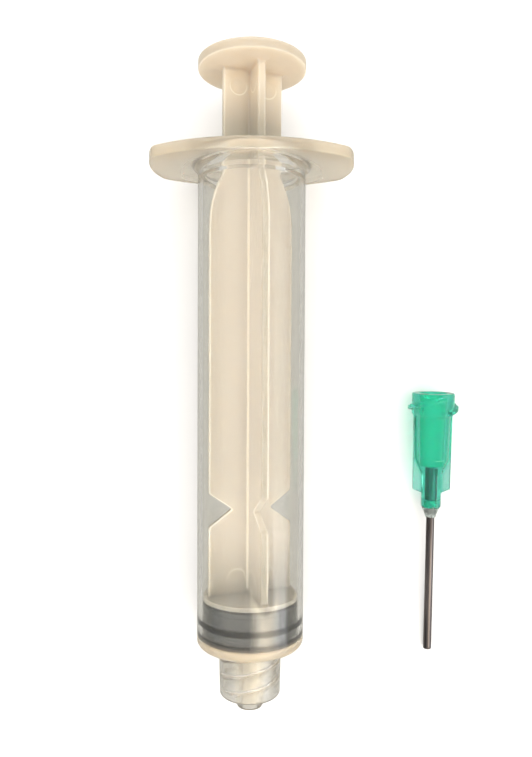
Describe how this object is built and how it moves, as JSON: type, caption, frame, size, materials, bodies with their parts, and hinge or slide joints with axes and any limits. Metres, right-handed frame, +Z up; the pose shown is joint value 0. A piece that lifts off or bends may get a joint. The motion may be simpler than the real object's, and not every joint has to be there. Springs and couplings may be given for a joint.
{
  "type": "dispensing syringe",
  "caption": "Translucent luer-lock dispensing syringe with finger flange, cross-ribbed plunger and grey rubber piston, and a loose blunt needle with a green winged hub.",
  "frame": {"origin": "centre of the bounding box of syringe and needle, on the table that they lie on", "axes": "+Z up from the table, +Y along the syringe from the nozzle to the thumb rest, +X towards the needle"},
  "size_m": [0.0476, 0.0966, 0.02],
  "materials": {
    "barrel_plastic": "natural translucent polypropylene, smooth",
    "rod_plastic": "natural cream polypropylene, satin",
    "seal_rubber": "grey moulded rubber, matt",
    "hub_plastic": "translucent green polypropylene",
    "needle_steel": "drawn stainless steel tube",
    "epoxy": "clear cured epoxy"
  },
  "bodies": {
    "barrel": {"barrel": "barrel_plastic"},
    "piston": {"piston_seal": "seal_rubber"},
    "plunger": {"plunger_rod": "rod_plastic"},
    "needle": {"needle_hub": "hub_plastic", "needle_tube": "needle_steel", "needle_adhesive": "epoxy"}
  },
  "joints": [
    {"name": "piston_slide", "type": "slide", "parent": "barrel", "child": "piston", "axis": [0, 0.9996, 0.0281], "range_m": [0, 0.06]},
    {"name": "rod_turn", "type": "hinge", "parent": "piston", "child": "plunger", "pos_m": [-0.00873, -0.03459, 0.00808], "axis": [0, 0.9996, 0.0281], "continuous": true},
    {"name": "needle_lift", "type": "slide", "parent": "barrel", "child": "needle", "axis": [0, 0, 1], "range_m": [0, 0.03]}
  ]
}
